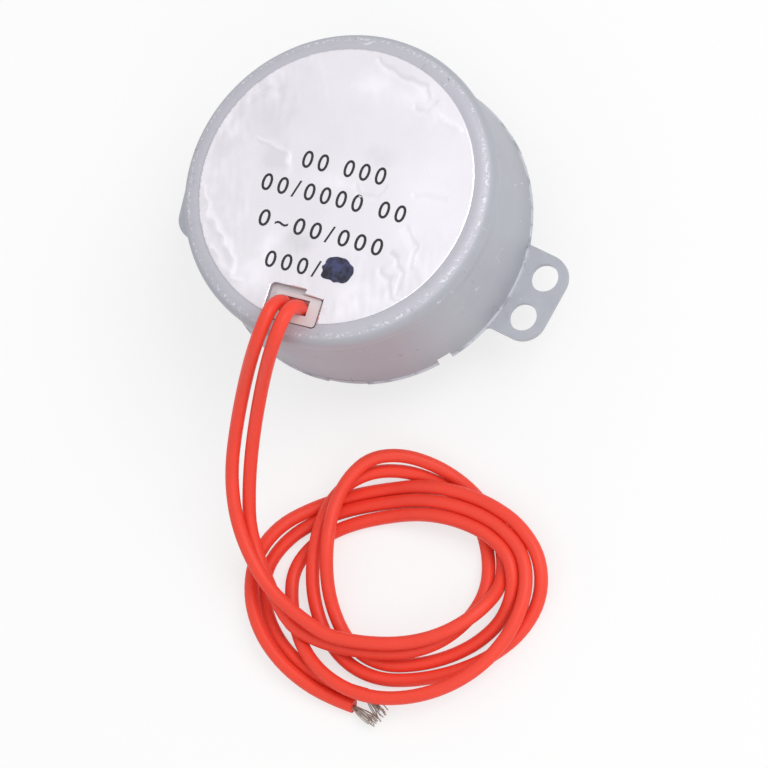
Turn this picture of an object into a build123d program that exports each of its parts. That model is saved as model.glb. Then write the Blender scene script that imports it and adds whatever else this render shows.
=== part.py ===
from build123d import *
import os
from math import acos, atan2, cos, degrees, hypot, pi, radians, sin, sqrt, tan

# Geared permanent-magnet synchronous motor: a drawn steel case with a foil label on its rear,
# a front plate with two ears, a claw-pole stator, a magnet rotor, a four-stage gear train to a
# central output shaft, and a pair of leads laid in a loose coil beside it.
# Millimetres. The origin is the centre of the mounting face, +Z points to the label, and the
# output shaft points down. +X runs through the two main ear holes.

# Case and front plate
RIM_R = 25.0
RIM_FLARE = 0.7
RIM_LIP = 0.25
WAIST = 0.3
BEAD_HEIGHT = 1.5
BEAD_LOW = 0.5
BEAD_BLEND = 2.5
SHOULDER_R = 2.4
SHEET = 0.8
PLATE_THICK = 1.0
PLATE_INSET = 0.4
LABEL_MARGIN = 2.95
LABEL_THICK = 0.1
PLATE_R = RIM_R - PLATE_INSET
WALL_R = RIM_R - RIM_FLARE
LABEL_R = WALL_R - LABEL_MARGIN

# Ears of the front plate
MAIN_HOLE_REACH = 3.6
SECOND_HOLE_REACH = 2.6
SECOND_HOLE_Y = -6.64
MAIN_HOLE_X = RIM_R + MAIN_HOLE_REACH
SECOND_HOLE_X = RIM_R + SECOND_HOLE_REACH
EAR_HOLE_R = 2.15
EAR_MARGIN = 3.6
EAR_ROOT = 8.0
EAR_FILLET = 0.9

# Rim of the case: open notches, a keyed recess and staked lugs
NOTCH_ANGLES = (-41.5, 138.5)
NOTCH_WIDTH = 2.4
NOTCH_DEPTH = 1.35
KEY_ANGLE = -77.5
KEY_LENGTH = 6.0
KEY_HEIGHT = 1.0
LUG_ANGLES = (48.5, 228.5)
LUG_WIDTH = 3.4
SEAT_GAP = 0.1

# Claw poles, lanced from the case and from the stator plate
POLE_COUNT = 12
POLE_BORE_R = 12.5
POLE_ROOT_WIDTH = 2.4
POLE_TIP_WIDTH = 1.6
POLE_LENGTH = 7.4
POLE_TIP_GAP = 1.5
COIL_SPACE = POLE_LENGTH + POLE_TIP_GAP
STATOR_THICK = 1.0
STATOR_BORE_R = 3.4

# Bobbin and winding
BOBBIN_GAP = 0.15
BOBBIN_WALL = 0.75
FLANGE_THICK = 0.8
FLANGE_MARGIN = 2.5
FLANGE_DROP = 1.0
WINDING_MARGIN = 0.8
TAPE_THICK = 0.25
FLANGE_R = WALL_R - FLANGE_MARGIN
WINDING_R = FLANGE_R - WINDING_MARGIN

# Lead bushing in the rear of the case
BUSHING_X = 0.6
BUSHING_MARGIN = 5.3
BUSHING_Y = BUSHING_MARGIN - WALL_R
BUSHING_TURN = 3.6
WINDOW_SIZE = (8.7, 5.55)
WINDOW_SHIFT = (0.15, -0.075)
WINDOW_CORNER = 0.7
BOSS_SIZE = (7.35, 4.4)
BOSS_SHIFT = (0.475, -0.4)
BOSS_CORNER = 0.5
BUSHING_RISE = 0.5
BUSHING_LIP = 0.8
BUSHING_SLOT = (4.7, 2.4)
SLOT_DEPTH = 1.15

# Rotor
AIR_GAP = 0.25
MAGNET_BORE_R = 7.5
MAGNET_END_GAP = 1.1
MAGNET_LENGTH = COIL_SPACE - 2 * MAGNET_END_GAP
ROTOR_SLEEVE_R = 2.3
ROTOR_WEB = 2.0
ROTOR_PIN_R = 0.75

# Gear train: the teeth of each stage's pinion and wheel, and its module, rotor first
TOOTH_COUNT = ((12, 36), (12, 30), (12, 32), (12, 30))
MODULE = (0.45, 0.5, 0.5, 0.5)
PRESSURE_ANGLE = 20.0
ADDENDUM = 0.8
DEDENDUM = 1.05
PINION_SHIFT = 0.3
FLANK_RELIEF = 0.035
FLANK_POINTS = 3
GEAR_LIFT = 0.6
GEAR_FACE = 1.6
LAYER_PITCH = 2.1
TRAIN_HEADROOM = 0.7
HUB_R = 1.3
GEAR_PIN_R = 0.6
END_PLAY = 0.08
RUNNING_GAP = 0.03
FIRST_GEAR_ANGLE = 200.0
GEAR_SPREAD = 116.5

# Output shaft and its bearing
SHAFT_R = 3.5
SHAFT_LENGTH = 10.0
SHAFT_FLAT = 2.8
SHAFT_CHAMFER = 0.4
JOURNAL_R = 3.0
KNURL_R = 2.5
BUSH_R = 5.0
BUSH_FLANGE_R = 6.0
BUSH_NOSE = 1.5
WASHER_THICK = 0.25
PILOT_DEPTH = 1.6
SPACER_R = 1.3

# Leads
WIRE_R = 1.05
LEAD_SPACING = 2.6
LEAD_EXIT_RISE = 4.2
COIL_APPROACH = 6.0
COIL_OFFSET = (20.2, -29.9)
COIL_START = 198.0
COIL_TURN = (1146.0, 786.0)
TURN_SEGMENT = 30.0
LAYER_STEP = 2.6
STRAND_R = 0.17
STRAND_COUNT = 5
STRAND_LENGTH = 4.6
STRAND_SPLAY = 8.0

STAGES = len(TOOTH_COUNT)
GEAR_Z = PLATE_THICK + GEAR_LIFT
STATOR_Z = GEAR_Z + (STAGES - 1) * LAYER_PITCH + GEAR_FACE + TRAIN_HEADROOM
STATOR_TOP = STATOR_Z + STATOR_THICK
CASE_CEILING = STATOR_TOP + COIL_SPACE
CASE_TOP = CASE_CEILING + SHEET
BEAD_Z = CASE_TOP - SHOULDER_R - BEAD_LOW
WAIST_Z = BEAD_Z - BEAD_HEIGHT
MAGNET_Z = STATOR_TOP + MAGNET_END_GAP
FLOOR_Z = -SHAFT_LENGTH


# Small helpers
def turned(shape, angle):
    return Rot(0, 0, angle) * shape


def disc(radius, low, high):
    return Pos(0, 0, low) * extrude(Circle(radius), high - low)


def ring(inner, outer, low, high):
    return disc(outer, low, high) - disc(inner, low, high)


def block(x_low, x_high, y_low, y_high, z_low, z_high):
    size = (x_high - x_low, y_high - y_low, z_high - z_low)
    middle = ((x_low + x_high) / 2, (y_low + y_high) / 2, (z_low + z_high) / 2)
    return Pos(*middle) * Box(*size)


def inner_wall_radius(height):
    foot = RIM_R - RIM_LIP - SHEET
    share = (height - PLATE_THICK) / (WAIST_Z - PLATE_THICK)
    return foot + (WALL_R - WAIST - SHEET - foot) * share


# Gear centres: the first and third gears stand beside the axis, the second meshes with both
def centre_distance(stage):
    return MODULE[stage] * sum(TOOTH_COUNT[stage]) / 2


def polar(radius, angle):
    return Vector(radius * cos(radians(angle)), radius * sin(radians(angle)))


AXIS = Vector(0, 0)
GEAR_1 = polar(centre_distance(0), FIRST_GEAR_ANGLE)
GEAR_3 = polar(centre_distance(3), FIRST_GEAR_ANGLE + GEAR_SPREAD)


def second_gear_centre():
    span = (GEAR_3 - GEAR_1).length
    along = (centre_distance(1) ** 2 - centre_distance(2) ** 2 + span**2) / (2 * span)
    out = sqrt(centre_distance(1) ** 2 - along**2)
    line = (GEAR_3 - GEAR_1) / span
    return GEAR_1 + line * along + Vector(line.Y, -line.X) * out


GEAR_2 = second_gear_centre()
CENTRES = (AXIS, GEAR_1, GEAR_2, GEAR_3, AXIS)


# Case and front plate
def case_core(inset):
    low = PLATE_THICK
    top = CASE_TOP - inset
    corner = (WALL_R - inset, top)
    waist = (WALL_R - WAIST - inset, WAIST_Z)
    bead = (WALL_R - inset, BEAD_Z)
    foot = (RIM_R - RIM_LIP - inset, low)
    section = make_face(Polyline((0, low), foot, waist, bead, corner, (0, top), close=True))
    for spot, radius in ((corner, SHOULDER_R - inset), (waist, BEAD_BLEND), (bead, BEAD_BLEND)):
        section = fillet(section.vertices().sort_by_distance((*spot, 0))[:1], radius)
    return revolve(Plane.XZ * section, Axis.Z)


def pole_finger(base_z, upward):
    side = 1 if upward else -1
    plane = Plane(origin=(POLE_BORE_R, 0, base_z), x_dir=(0, side, 0), z_dir=(1, 0, 0))
    root = POLE_ROOT_WIDTH / 2
    tip = POLE_TIP_WIDTH / 2
    shape = Polygon((-root, 0), (root, 0), (tip, POLE_LENGTH), (-tip, POLE_LENGTH), align=None)
    return extrude(plane * shape, SHEET)


def pole_window(low, high):
    start = POLE_BORE_R + SHEET
    end = start + POLE_LENGTH
    root = POLE_ROOT_WIDTH / 2 + SEAT_GAP
    tip = POLE_TIP_WIDTH / 2 + SEAT_GAP
    shape = Polygon((start, -root), (end, -tip), (end, tip), (start, root), align=None)
    return Pos(0, 0, low) * extrude(shape, high - low)


def pole_angles(first):
    return [first + k * 360 / POLE_COUNT for k in range(POLE_COUNT)]


def at_bushing(shape, height):
    return Pos(BUSHING_X, BUSHING_Y, height) * Rot(0, 0, BUSHING_TURN) * shape


def bushing_cutout(low, high):
    window = extrude(RectangleRounded(*WINDOW_SIZE, WINDOW_CORNER), high - low)
    return at_bushing(Pos(*WINDOW_SHIFT) * window, low)


def rim_block(angle, width, low, high):
    span = block(RIM_R - 2 * SHEET, RIM_R + SHEET, -width / 2, width / 2, low, high)
    return turned(span, angle)


def rear_case():
    case = case_core(0) - case_core(SHEET)
    case -= [turned(pole_window(CASE_CEILING, CASE_TOP), a) for a in pole_angles(0)]
    case += [turned(pole_finger(CASE_CEILING, False), a) for a in pole_angles(0)]
    case += ring(RIM_R - RIM_LIP - SHEET / 2, RIM_R, PLATE_THICK, PLATE_THICK + RIM_LIP)
    case -= bushing_cutout(CASE_CEILING - SHOULDER_R / 2, CASE_TOP)
    case -= disc(ROTOR_PIN_R, CASE_CEILING, CASE_TOP)
    for angle in NOTCH_ANGLES:
        case -= rim_block(angle, NOTCH_WIDTH, PLATE_THICK, PLATE_THICK + NOTCH_DEPTH)
    key_top = PLATE_THICK + KEY_HEIGHT + SEAT_GAP
    case -= rim_block(KEY_ANGLE, KEY_LENGTH + 2 * SEAT_GAP, PLATE_THICK, key_top)
    rim = ring(RIM_R - SHEET, RIM_R, SEAT_GAP, PLATE_THICK)
    case += [rim & rim_block(angle, LUG_WIDTH, 0, PLATE_THICK) for angle in LUG_ANGLES]
    return case


def ear():
    main = Vector(MAIN_HOLE_X, 0)
    second = Vector(SECOND_HOLE_X, SECOND_HOLE_Y)
    line = (second - main).normalized()
    inward = Vector(line.Y, -line.X) * EAR_ROOT
    spots = (main, second, main + inward, second + inward)
    return make_hull([Pos(*spot) * Circle(EAR_MARGIN).edge() for spot in spots])


def ear_holes():
    spots = [(MAIN_HOLE_X, 0), (SECOND_HOLE_X, SECOND_HOLE_Y)]
    spots += [(-x, y) for x, y in spots]
    return [Pos(x, y) * Circle(EAR_HOLE_R) for x, y in spots]


def front_plate():
    tab = ear()
    outline = Circle(PLATE_R) + tab + mirror(tab, Plane.YZ)
    corners = outline.vertices().filter_by(lambda v: abs(hypot(v.X, v.Y) - PLATE_R) < 0.01)
    corners = corners.filter_by(lambda v: abs(v.Y) < SECOND_HOLE_X / 2)
    outline = fillet(corners, EAR_FILLET)
    outline -= ear_holes()
    outline -= Circle(BUSH_R)
    outline -= [Pos(*spot) * Circle(GEAR_PIN_R) for spot in (GEAR_1, GEAR_2, GEAR_3)]
    plate = extrude(outline, PLATE_THICK)
    for angle in LUG_ANGLES:
        notch = rim_block(angle, LUG_WIDTH + 2 * SEAT_GAP, 0, PLATE_THICK)
        plate -= notch & ring(RIM_R - SHEET - SEAT_GAP, RIM_R, 0, PLATE_THICK)
    for angle in NOTCH_ANGLES:
        plate -= rim_block(angle, NOTCH_WIDTH, 0, PLATE_THICK)
    key_out = RIM_R - RIM_LIP
    key_ring = ring(key_out - SHEET, key_out, PLATE_THICK, PLATE_THICK + KEY_HEIGHT)
    plate += key_ring & rim_block(KEY_ANGLE, KEY_LENGTH, PLATE_THICK, PLATE_THICK + KEY_HEIGHT)
    return plate


def rear_label():
    foil = disc(LABEL_R, CASE_TOP, CASE_TOP + LABEL_THICK)
    return foil - bushing_cutout(CASE_TOP, CASE_TOP + LABEL_THICK)


# Stator
def stator_plate():
    plate = disc(inner_wall_radius(STATOR_TOP), STATOR_Z, STATOR_TOP)
    plate -= disc(STATOR_BORE_R, STATOR_Z, STATOR_TOP)
    half_pitch = 180 / POLE_COUNT
    plate -= [turned(pole_window(STATOR_Z, STATOR_TOP), a) for a in pole_angles(half_pitch)]
    plate += [turned(pole_finger(STATOR_TOP, True), a) for a in pole_angles(half_pitch)]
    for spot in (GEAR_1, GEAR_2, GEAR_3):
        plate -= Pos(*spot) * disc(GEAR_PIN_R, STATOR_Z, STATOR_TOP)
    return plate


BOBBIN_BORE_R = POLE_BORE_R + SHEET + BOBBIN_GAP
BOBBIN_HUB_R = BOBBIN_BORE_R + BOBBIN_WALL
FLANGE_TOP = CASE_CEILING - FLANGE_DROP
WINDING_LOW = STATOR_TOP + FLANGE_THICK
WINDING_HIGH = FLANGE_TOP - FLANGE_THICK


def coil_bobbin():
    hub = disc(BOBBIN_HUB_R, STATOR_TOP, CASE_CEILING)
    hub += disc(FLANGE_R, STATOR_TOP, WINDING_LOW)
    hub += disc(FLANGE_R, WINDING_HIGH, FLANGE_TOP)
    return hub - disc(BOBBIN_BORE_R, STATOR_TOP, CASE_CEILING)


def coil_winding():
    return ring(BOBBIN_HUB_R, WINDING_R, WINDING_LOW, WINDING_HIGH)


def winding_tape():
    return ring(WINDING_R, WINDING_R + TAPE_THICK, WINDING_LOW, WINDING_HIGH)


BUSHING_TOP = CASE_CEILING + BUSHING_RISE


def lead_bushing():
    boss = extrude(RectangleRounded(*BOSS_SIZE, BOSS_CORNER), BUSHING_TOP - FLANGE_TOP)
    boss = at_bushing(Pos(*BOSS_SHIFT) * boss, FLANGE_TOP)
    length, width = WINDOW_SIZE
    lip = extrude(Rectangle(length + 2 * BUSHING_LIP, width + 2 * BUSHING_LIP), FLANGE_DROP)
    lip = at_bushing(Pos(*WINDOW_SHIFT) * lip, FLANGE_TOP)
    piece = boss + (lip & disc(FLANGE_R, FLANGE_TOP, CASE_CEILING))
    slot = extrude(Rectangle(*BUSHING_SLOT), SLOT_DEPTH)
    return piece - at_bushing(slot, BUSHING_TOP - SLOT_DEPTH)


# Gear teeth
def involute(angle):
    return tan(angle) - angle


def gear_outline(teeth, module, shift, phase):
    """Points of a spur gear with involute flanks; phase is the angle of one tooth's centre, in radians."""
    pitch_r = module * teeth / 2
    base_r = pitch_r * cos(radians(PRESSURE_ANGLE))
    tip_r = pitch_r + module * (ADDENDUM + shift)
    root_r = pitch_r - module * (DEDENDUM - shift)
    half_pitch = pi / 2 / teeth + 2 * shift * tan(radians(PRESSURE_ANGLE)) / teeth - FLANK_RELIEF / pitch_r
    half_base = half_pitch + involute(radians(PRESSURE_ANGLE))
    foot_r = max(base_r, root_r)
    radii = [foot_r + (tip_r - foot_r) * k / (FLANK_POINTS - 1) for k in range(FLANK_POINTS)]
    flank = [(r, half_base - involute(acos(base_r / r))) for r in radii]
    if root_r < base_r:
        flank.insert(0, (root_r, flank[0][1]))
    half_tooth = [(r, -a) for r, a in flank] + [(r, a) for r, a in reversed(flank)]
    points = []
    for tooth in range(teeth):
        middle = phase + tooth * 2 * pi / teeth
        points += [(r * cos(middle + a), r * sin(middle + a)) for r, a in half_tooth]
    return points


def toothed(teeth, module, shift, phase, low, high):
    outline = make_face(Polyline(*gear_outline(teeth, module, shift, phase), close=True))
    return Pos(0, 0, low) * extrude(outline, high - low)


def meshing_phase(stage):
    """Phase of a stage's wheel that meshes with its pinion, whose own phase is zero."""
    pinion, wheel = TOOTH_COUNT[stage]
    line = CENTRES[stage + 1] - CENTRES[stage]
    beta = atan2(line.Y, line.X)
    offset = -beta * pinion / (2 * pi)
    return beta + pi + pi / wheel - offset * 2 * pi / wheel


def layer_low(stage):
    return GEAR_Z + (STAGES - 1 - stage) * LAYER_PITCH


def stage_wheel(stage):
    teeth = TOOTH_COUNT[stage][1]
    low = layer_low(stage)
    return toothed(teeth, MODULE[stage], -PINION_SHIFT, meshing_phase(stage), low, low + GEAR_FACE)


def stage_pinion(stage, high):
    teeth = TOOTH_COUNT[stage][0]
    return toothed(teeth, MODULE[stage], PINION_SHIFT, 0, layer_low(stage), high)


def compound_gear(stage):
    """Wheel driven in one layer, with the next stage's pinion on its lower side, and its long hub."""
    gear = stage_wheel(stage) + stage_pinion(stage + 1, layer_low(stage))
    gear += disc(HUB_R, PLATE_THICK + END_PLAY, STATOR_Z - END_PLAY)
    gear -= disc(GEAR_PIN_R + RUNNING_GAP, PLATE_THICK, STATOR_Z)
    return Pos(*CENTRES[stage + 1]) * gear


def gear_pin(index):
    return Pos(*CENTRES[index]) * disc(GEAR_PIN_R, 0, STATOR_TOP)


# Rotor
ROTOR_TOP = MAGNET_Z + MAGNET_LENGTH
MAGNET_R = POLE_BORE_R - AIR_GAP


def rotor_magnet():
    return ring(MAGNET_BORE_R, MAGNET_R, MAGNET_Z, ROTOR_TOP)


def rotor_hub():
    web_low = (MAGNET_Z + ROTOR_TOP - ROTOR_WEB) / 2
    hub = stage_pinion(0, layer_low(0) + GEAR_FACE)
    hub += disc(ROTOR_SLEEVE_R, layer_low(0) + GEAR_FACE, ROTOR_TOP + END_PLAY)
    hub += disc(MAGNET_BORE_R, web_low, web_low + ROTOR_WEB)
    hub += ring(MAGNET_BORE_R - SHEET, MAGNET_BORE_R, MAGNET_Z, ROTOR_TOP)
    return hub - disc(ROTOR_PIN_R + RUNNING_GAP, layer_low(0), ROTOR_TOP + END_PLAY)


OUTPUT_TOP = GEAR_Z + GEAR_FACE


def rotor_pin():
    return disc(ROTOR_PIN_R, OUTPUT_TOP - PILOT_DEPTH + END_PLAY, CASE_TOP)


def rotor_spacer():
    return ring(ROTOR_PIN_R, SPACER_R, OUTPUT_TOP + END_PLAY, layer_low(0) - END_PLAY)


def rear_washer():
    return ring(ROTOR_PIN_R, ROTOR_SLEEVE_R, ROTOR_TOP + 2 * END_PLAY, CASE_CEILING)


# Output
BUSH_TOP = GEAR_Z - WASHER_THICK - END_PLAY


def output_bush():
    bush = disc(BUSH_R, -BUSH_NOSE, BUSH_TOP) + disc(BUSH_FLANGE_R, PLATE_THICK, BUSH_TOP)
    return bush - disc(JOURNAL_R + RUNNING_GAP, -BUSH_NOSE, BUSH_TOP)


def thrust_washer():
    return ring(JOURNAL_R + RUNNING_GAP, BUSH_FLANGE_R, BUSH_TOP, BUSH_TOP + WASHER_THICK)


def output_shaft():
    shoulder = -BUSH_NOSE - SEAT_GAP
    nose = disc(SHAFT_R, FLOOR_Z, shoulder)
    nose = chamfer(nose.edges().group_by(Axis.Z)[0], SHAFT_CHAMFER)
    nose -= block(SHAFT_FLAT, SHAFT_R + 1, -SHAFT_R, SHAFT_R, FLOOR_Z, shoulder)
    shaft = nose + disc(JOURNAL_R, shoulder, GEAR_Z) + disc(KNURL_R, GEAR_Z, OUTPUT_TOP)
    return shaft - disc(ROTOR_PIN_R + RUNNING_GAP, OUTPUT_TOP - PILOT_DEPTH, OUTPUT_TOP)


def output_gear():
    return stage_wheel(STAGES - 1) - disc(KNURL_R, GEAR_Z, OUTPUT_TOP)


# Leads. A route is a lead's way from the bushing to its coil, as steps from the bushing's centre.
# Each turn's radius is given to the left, front, right and back of the coil, and each climb onto
# or off another strand as the angle along the lead and the layer reached there.
LEAD_NAMES = ("lead_1", "lead_2")
LEAD_X = (BUSHING_X - LEAD_SPACING / 2, BUSHING_X + LEAD_SPACING / 2)
COIL_RADII = (
    (20.0, 10.5, 13.9, 16.9, 10.8, 11.6, 19.0, 8.9, 17.4, 17.1, 20.9, 12.2, 23.6, 17.8),
    (21.5, 13.4, 16.8, 19.6, 13.5, 14.4, 22.2, 13.9, 20.1, 19.6),
)
COIL_CLIMBS = (
    (
        (0, 2.3), (30, 2.1), (80, 1), (95, 1), (150, 0), (255, 0), (300, 1), (345, 1), (390, 0), (505, 0), (560, 1),
        (610, 1), (655, 0), (800, 0), (840, 1), (865, 1), (920, 2), (1043, 2), (1074, 0), (1080, 0), (1115, 1),
    ),
    (
        (0, 1.3), (30, 1), (140, 1), (190, 0), (255, 0), (300, 1), (345, 1), (390, 0), (510, 0), (565, 1),
        (610, 1), (655, 0),
    ),
)
ENTRY_RADIUS = 27.0
LEAD_ROUTES = (
    ((-1.8, -8.2, 4.2), (-4.1, -13.4, -3.4), (-5.8, -18.0, -11.5), (-7.0, -24.2, -16.6)),
    ((1.2, -7.4, 4.5), (-1.4, -12.0, -3.8), (-3.6, -16.0, -12.2), (-3.8, -23.0, -21.0)),
)
BUSHING_CENTRE = Vector(BUSHING_X, BUSHING_Y, BUSHING_TOP)


def layer_at(lead, angle):
    climbs = COIL_CLIMBS[lead]
    for (start, low), (end, high) in zip(climbs, climbs[1:]):
        if start <= angle <= end:
            share = (angle - start) / (end - start)
            return low + (high - low) * share * share * (3 - 2 * share)
    return climbs[-1][1] if angle > climbs[-1][0] else climbs[0][1]


def radius_at(lead, angle):
    """Smooth curve through the radii at each quarter turn."""
    radii = (ENTRY_RADIUS,) + COIL_RADII[lead]
    radii += (radii[-1],) * 2
    quarter = min(max(int(angle // 90), 0), len(COIL_RADII[lead]) - 2)
    t = angle / 90 - quarter
    before, start, end, after = radii[quarter : quarter + 4]
    bend = 2 * before - 5 * start + 4 * end - after
    return start + t / 2 * (end - before + t * (bend + t * (3 * (start - end) + after - before)))


def coil_point(lead, angle):
    spot = polar(radius_at(lead, angle), COIL_START + angle)
    height = FLOOR_Z + WIRE_R + LAYER_STEP * layer_at(lead, angle)
    across, along = COIL_OFFSET
    return Vector(BUSHING_X + across + spot.X, BUSHING_Y + along + spot.Y, height)


def coil_heading(lead, angle):
    return (coil_point(lead, angle + 0.5) - coil_point(lead, angle - 0.5)).normalized()


def biarc(start, heading, end, end_heading):
    """Two tangent arcs from one point and heading to another."""
    chord = end - start
    both = heading + end_heading
    spread = 2 * (1 - heading.dot(end_heading))
    along = chord.dot(both)
    if spread < 1e-6:
        reach = chord.dot(chord) / (2 * along)
    else:
        reach = (sqrt(along**2 + spread * chord.dot(chord)) - along) / spread
    first = start + heading * reach
    last = end - end_heading * reach
    middle = (first + last) / 2
    arc = Edge.make_tangent_arc(start, heading, middle)
    return arc, Edge.make_tangent_arc(middle, (last - first).normalized(), end)


def coil_path(lead):
    turn = COIL_TURN[lead]
    steps = round(turn / TURN_SEGMENT)
    angles = [turn * k / steps for k in range(steps + 1)]
    spots = [(coil_point(lead, a), coil_heading(lead, a)) for a in angles]
    straight = 2 * WIRE_R
    start, heading = spots[0]
    end, end_heading = spots[-1]
    edges = [Edge.make_line(start - heading * straight, start)]
    for (spot, aim), (after, after_aim) in zip(spots, spots[1:]):
        edges += biarc(spot, aim, after, after_aim)
    edges.append(Edge.make_line(end, end + end_heading * straight))
    return Wire(edges)


def tube(path, radius):
    section = Plane(origin=path @ 0, z_dir=path % 0) * Circle(radius)
    return sweep(section, path=path)


def lead_route(lead):
    """Points of a lead from the floor of the bushing's slot to the start of its coil."""
    x = LEAD_X[lead]
    start = coil_point(lead, 0) - coil_heading(lead, 0) * 2 * WIRE_R
    route = [Vector(x, BUSHING_Y, BUSHING_TOP - SLOT_DEPTH), Vector(x, BUSHING_Y, BUSHING_TOP + LEAD_EXIT_RISE)]
    route += [BUSHING_CENTRE + Vector(*point) for point in LEAD_ROUTES[lead]]
    route.append(start - coil_heading(lead, 0) * COIL_APPROACH)
    return route + [start]


def route_path(name, route):
    """Straight runs joined by arcs as large as the runs allow."""
    radii = []
    for before, corner, after in zip(route, route[1:], route[2:]):
        turn = radians((corner - before).get_angle(after - corner))
        shorter = min((corner - before).length, (after - corner).length)
        radii.append(0.45 * shorter / tan(turn / 2))
    print(name, "bend radii", [round(r, 1) for r in radii])
    return FilletPolyline(*route, radius=radii)


def check_tube(name, solid, path):
    print(name, "length", round(path.length, 1), "volume share",
          round(solid.volume / (pi * WIRE_R**2 * path.length), 4))


def least_gap(paths):
    """Least clear gap between strands, measured on points along the leads."""
    spacing = 0.7
    points = []
    for number, path in enumerate(paths):
        count = int(path.length / spacing)
        points += [(number, k * spacing, path @ (k / count)) for k in range(count + 1)]
    least = 1e9
    for k, (lead, at, spot) in enumerate(points):
        for other, other_at, other_spot in points[k + 1 :]:
            if other == lead and other_at - at < 5 * WIRE_R:
                continue
            least = min(least, (spot - other_spot).length - 2 * WIRE_R)
    return least


def bare_strands(path):
    """Stripped conductor: fine strands that spread from the lead's cut end."""
    end = path @ 1
    heading = path % 1
    level = Vector(heading.X, heading.Y).normalized()
    strands = []
    for k in range(STRAND_COUNT):
        side = k - (STRAND_COUNT - 1) / 2
        offset = Vector(-level.Y, level.X) * (side * 2.2 * STRAND_R) + Vector(0, 0, STRAND_R * (k % 2))
        aim = level.rotate(Axis.Z, side * STRAND_SPLAY)
        start = end + offset + level * (STRAND_R * abs(sin(radians(side * STRAND_SPLAY))))
        strands.append(Plane(origin=start, z_dir=aim) * extrude(Circle(STRAND_R), STRAND_LENGTH))
    return Compound(strands)


def leads():
    parts = {}
    paths = [coil_path(lead) for lead in range(len(LEAD_NAMES))]
    print("least gap between strands", round(least_gap(paths), 2))
    for lead, name in enumerate(LEAD_NAMES):
        free = route_path(name, lead_route(lead))
        parts[name] = tube(free, WIRE_R)
        check_tube(name, parts[name], free)
        parts[name + "_coil"] = tube(paths[lead], WIRE_R)
        check_tube(name + "_coil", parts[name + "_coil"], paths[lead])
        parts[name + "_strands"] = bare_strands(paths[lead])
    return parts


def build():
    parts = {
        "rear_case": rear_case(),
        "rear_label": rear_label(),
        "front_plate": front_plate(),
        "stator_plate": stator_plate(),
        "coil_bobbin": coil_bobbin(),
        "coil_winding": coil_winding(),
        "winding_tape": winding_tape(),
        "lead_bushing": lead_bushing(),
        "rotor_magnet": rotor_magnet(),
        "rotor_hub": rotor_hub(),
        "rotor_pin": rotor_pin(),
        "rotor_spacer": rotor_spacer(),
        "rear_washer": rear_washer(),
        "output_bush": output_bush(),
        "thrust_washer": thrust_washer(),
        "output_shaft": output_shaft(),
        "output_gear": output_gear(),
    }
    for index, name in ((1, "first"), (2, "second"), (3, "third")):
        parts[name + "_gear"] = compound_gear(index - 1)
        parts[name + "_gear_pin"] = gear_pin(index)
    parts.update(leads())
    return parts


os.makedirs("parts", exist_ok=True)
for node, solid in build().items():
    export_step(solid, f"parts/{node}.step")
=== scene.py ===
"""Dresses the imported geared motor: its leads, foil label, finishes and stage."""

from math import atan2, ceil, cos, exp, hypot, pi, radians, sin

import bpy
from bpy.props import FloatProperty, FloatVectorProperty, IntProperty, PointerProperty
from mathutils import Matrix, Vector, noise
from mathutils.geometry import delaunay_2d_cdt


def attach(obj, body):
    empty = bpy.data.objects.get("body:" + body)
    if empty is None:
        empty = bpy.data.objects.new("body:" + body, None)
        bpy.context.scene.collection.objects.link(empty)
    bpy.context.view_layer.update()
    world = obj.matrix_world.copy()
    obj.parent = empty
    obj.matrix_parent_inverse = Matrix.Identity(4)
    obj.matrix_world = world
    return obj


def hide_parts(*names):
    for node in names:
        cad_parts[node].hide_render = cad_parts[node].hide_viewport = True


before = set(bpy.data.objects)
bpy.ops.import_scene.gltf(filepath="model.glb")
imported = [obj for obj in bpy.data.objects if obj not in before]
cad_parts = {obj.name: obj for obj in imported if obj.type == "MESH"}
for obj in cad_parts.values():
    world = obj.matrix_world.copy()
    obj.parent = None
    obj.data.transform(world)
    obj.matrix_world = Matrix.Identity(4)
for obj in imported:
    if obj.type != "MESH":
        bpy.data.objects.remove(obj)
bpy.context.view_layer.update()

bl_info = {
    "name": "Geared motor dressing",
    "version": (1, 0, 0),
    "blender": (4, 5, 0),
    "location": "3D View > Sidebar > Motor",
    "description": "Leads, foil label, finishes and stage for a small geared motor",
    "category": "Object",
}

MM = 0.001

# Leads, in millimetres and degrees, with their routes and turns moved to follow the photograph
LEAD_X = (-0.7, 1.9)
LEAD_Y = -19.0
SLOT_FLOOR = 19.45
RISE_TOP = 24.8
FLOOR_Z = -10.0
LEAD_ROUTES = (
    (
        (-1.0, -25.4, 25.0), (-4.4, -30.2, 15.8), (-6.2, -37.0, 8.0), (-6.3, -43.2, 3.2),
        (-4.2, -49.0, 0.2), (-0.4, -53.8, -1.7), (4.6, -57.8, -3.0),
    ),
    ((1.6, -25.4, 25.1), (-1.9, -30.4, 15.0), (-3.6, -37.7, 6.6), (-3.6, -44.5, 0.8), (-2.2, -51.0, -3.6)),
)
COIL_CENTRE = (20.8, -48.9)
COIL_START = 198.0
COIL_JOIN = (40.0, 24.0)
COIL_TURN = (1150.0, 787.0)
COIL_STEP = 15.0
LAYER_STEP = 2.6
# Radii of the coil at each quarter turn
COIL_RADII = (
    (20.0, 10.7, 16.2, 18.9, 10.8, 13.15, 18.5, 9.9, 17.4, 18.7, 20.6, 12.05, 22.0, 17.8),
    (21.5, 11.7, 13.9, 16.9, 13.5, 15.4, 22.7, 14.2, 23.3, 19.95),
)
# Stretches that are moved sideways: middle, reach and shift
COIL_LEANS = (
    ((275.0, 75.0, (-1.5, -0.5)),),
    ((285.0, 70.0, (-2.0, -0.7)),),
)
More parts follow.
